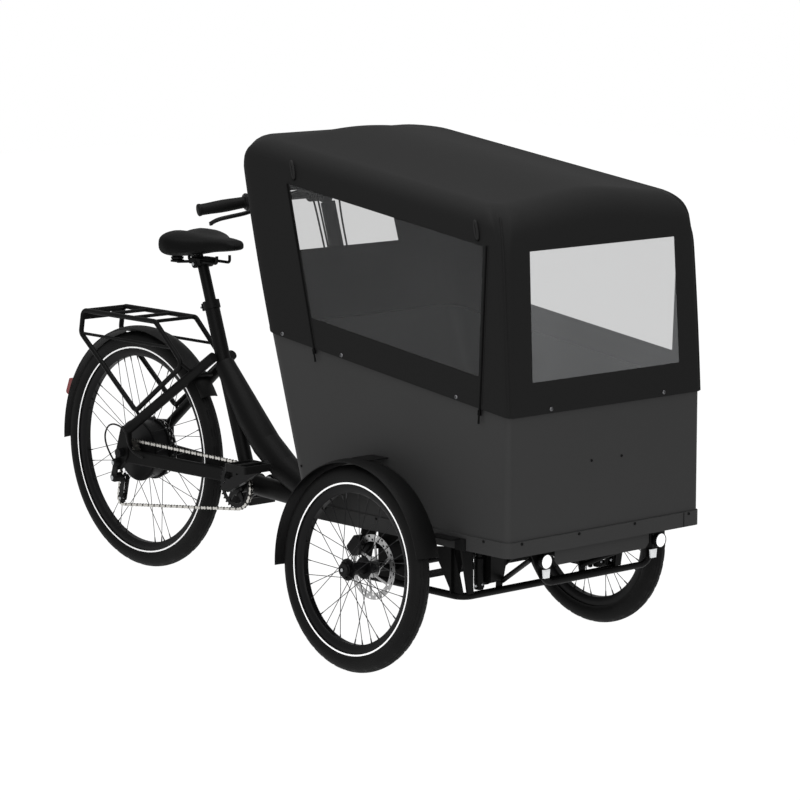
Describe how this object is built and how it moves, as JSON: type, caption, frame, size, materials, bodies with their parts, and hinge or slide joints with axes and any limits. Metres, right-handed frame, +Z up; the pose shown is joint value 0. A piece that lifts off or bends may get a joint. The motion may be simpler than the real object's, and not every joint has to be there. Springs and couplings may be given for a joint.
{
  "type": "front-loading cargo trike with canopy",
  "caption": "Electric cargo trike: a canopied load box on cambered front wheels turns with the handlebar on a pivot ahead of a bicycle rear half.",
  "frame": {"origin": "centre of the bounding box at floor level", "axes": "+X forward, +Y to the rider's left, +Z up"},
  "size_m": [2.1446, 0.8878, 1.2884],
  "materials": {
    "axle_steel": "zinc plated",
    "black_alloy": "black anodised",
    "black_plastic": "moulded",
    "box_panel": "matte powder coat",
    "cable_sheath": "extruded",
    "canopy_cloth": "coated weave",
    "chain_steel": "nickel plated",
    "disc_steel": "ground",
    "frame_paint": "matte powder coat",
    "grip_rubber": "moulded",
    "lamp_lens": "clear lens",
    "reflector_lens": "prismatic",
    "saddle_cover": "matte synthetic cover",
    "tail_lens": "red lens",
    "tyre_rubber": "moulded",
    "window_film": "clear film"
  },
  "bodies": {
    "front_carriage": {"box_floor": "box_panel", "box_front": "box_panel", "box_rear": "box_panel", "box_side_left": "box_panel", "box_side_right": "box_panel", "box_trim": "black_alloy", "brake_levers": "frame_paint", "canopy_front": "canopy_cloth", "canopy_rear": "canopy_cloth", "canopy_roof": "canopy_cloth", "canopy_side_left": "canopy_cloth", "canopy_side_right": "canopy_cloth", "control_cables": "cable_sheath", "front_calipers": "black_alloy", "front_mudguard_left": "black_plastic", "front_mudguard_right": "black_plastic", "grips": "grip_rubber", "handlebar": "frame_paint", "handlebar_column": "frame_paint", "handlebar_stem": "frame_paint", "lamp_bar": "frame_paint", "lamps": "lamp_lens", "pivot_housing": "frame_paint", "reflectors": "reflector_lens", "subframe": "frame_paint", "window_front": "window_film", "window_left": "window_film", "window_rear": "window_film", "window_right": "window_film"},
    "rear_frame": {"chain": "chain_steel", "derailleur": "black_plastic", "frame": "frame_paint", "rack": "frame_paint", "rear_axle": "axle_steel", "rear_caliper": "black_alloy", "rear_mudguard": "black_plastic", "saddle": "saddle_cover", "saddle_rails": "frame_paint", "seat_collar": "frame_paint", "seat_post": "frame_paint", "shift_cable": "cable_sheath", "tail_light": "tail_lens"},
    "crankset": {"chainring": "black_alloy", "crank_arms": "black_alloy", "crank_spindle": "axle_steel", "pedals": "black_plastic"},
    "front_wheel_left": {"front_disc_left": "disc_steel", "front_hub_left": "black_alloy", "front_rim_left": "black_alloy", "front_tyre_left": "tyre_rubber"},
    "front_wheel_right": {"front_disc_right": "disc_steel", "front_hub_right": "black_alloy", "front_rim_right": "black_alloy", "front_tyre_right": "tyre_rubber"},
    "rear_wheel": {"rear_disc": "disc_steel", "rear_hub_motor": "black_alloy", "rear_rim": "black_alloy", "rear_sprockets": "chain_steel", "rear_tyre": "tyre_rubber"}
  },
  "joints": [
    {"name": "steering", "type": "hinge", "parent": "rear_frame", "child": "front_carriage", "pos_m": [0.63525, 0, 0.27], "axis": [0, 0, 1], "range_deg": [-35, 35]},
    {"name": "rear_wheel_spin", "type": "hinge", "parent": "rear_frame", "child": "rear_wheel", "pos_m": [-0.72675, 0, 0.3295], "axis": [0, 1, 0], "continuous": true},
    {"name": "crank_spin", "type": "hinge", "parent": "rear_frame", "child": "crankset", "pos_m": [-0.26775, 0, 0.295], "axis": [0, 1, 0], "continuous": true},
    {"name": "front_wheel_right_spin", "type": "hinge", "parent": "front_carriage", "child": "front_wheel_right", "pos_m": [0.61825, -0.405, 0.25257], "axis": [0, 0.9981, -0.061], "continuous": true},
    {"name": "front_wheel_left_spin", "type": "hinge", "parent": "front_carriage", "child": "front_wheel_left", "pos_m": [0.61825, 0.405, 0.25257], "axis": [0, 0.9981, 0.061], "continuous": true}
  ]
}
